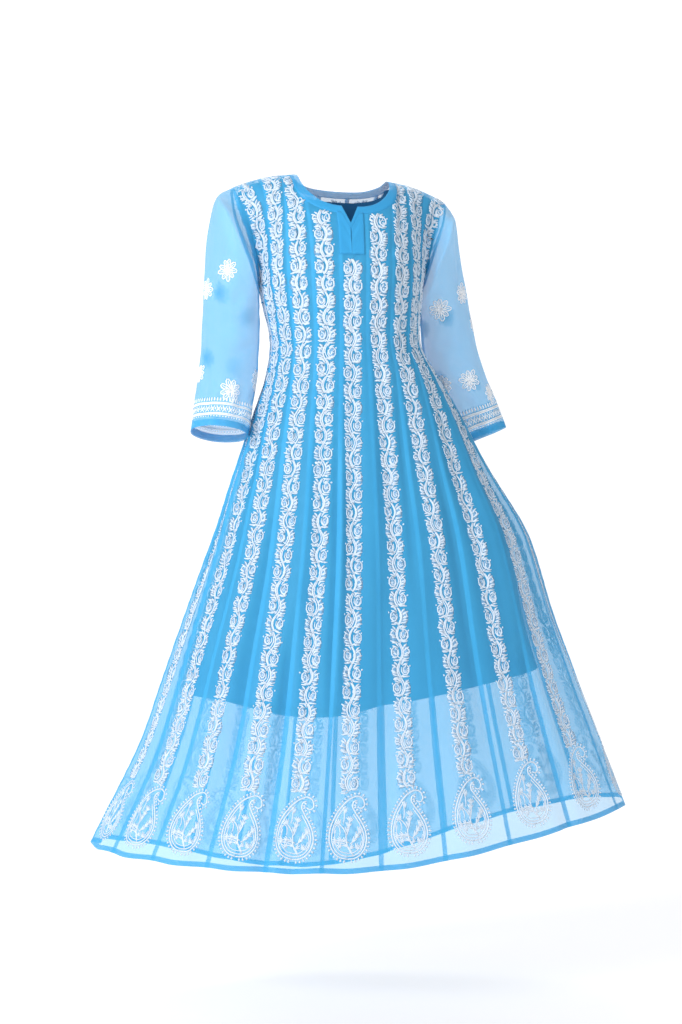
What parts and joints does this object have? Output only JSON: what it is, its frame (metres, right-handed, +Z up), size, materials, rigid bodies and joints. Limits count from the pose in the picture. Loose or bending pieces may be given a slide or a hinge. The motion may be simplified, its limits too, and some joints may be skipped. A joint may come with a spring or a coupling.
{
  "type": "anarkali gown",
  "caption": "Sheer blue anarkali gown of flared gores with white vine and paisley embroidery, cropped sleeves, a notched round neck and a knee-length lining, in its hollow worn form.",
  "frame": {"origin": "midway between the two points where shoulder seam and neckline meet, at their height, where the wearer's shoulders carry the gown", "axes": "+Z up, -Y the way the front faces, +X the wearer's left hand"},
  "size_m": [0.9419, 0.489, 1.2493],
  "materials": {
    "georgette": "sheer crepe georgette",
    "lining": "smooth matte lining",
    "turned_hem": "doubled georgette, stitched flat",
    "embroidery_thread": "soft white cotton thread, slightly raised"
  },
  "bodies": {
    "root": {"kali_front_0": "georgette", "kali_back_0": "georgette", "kali_front_left_1": "georgette", "kali_front_left_2": "georgette", "kali_front_left_3": "georgette", "kali_front_left_4": "georgette", "kali_front_left_5": "georgette", "kali_front_right_1": "georgette", "kali_front_right_2": "georgette", "kali_front_right_3": "georgette", "kali_front_right_4": "georgette", "kali_front_right_5": "georgette", "kali_back_left_1": "georgette", "kali_back_left_2": "georgette", "kali_back_left_3": "georgette", "kali_back_left_4": "georgette", "kali_back_left_5": "georgette", "kali_back_right_1": "georgette", "kali_back_right_2": "georgette", "kali_back_right_3": "georgette", "kali_back_right_4": "georgette", "kali_back_right_5": "georgette", "sleeve_left": "georgette", "sleeve_right": "georgette", "lining_front": "lining", "lining_back": "lining", "hem_band": "turned_hem", "neck_band": "turned_hem", "placket_left": "turned_hem", "placket_right": "turned_hem", "cuff_hem_left": "turned_hem", "cuff_hem_right": "turned_hem"}
  },
  "joints": []
}
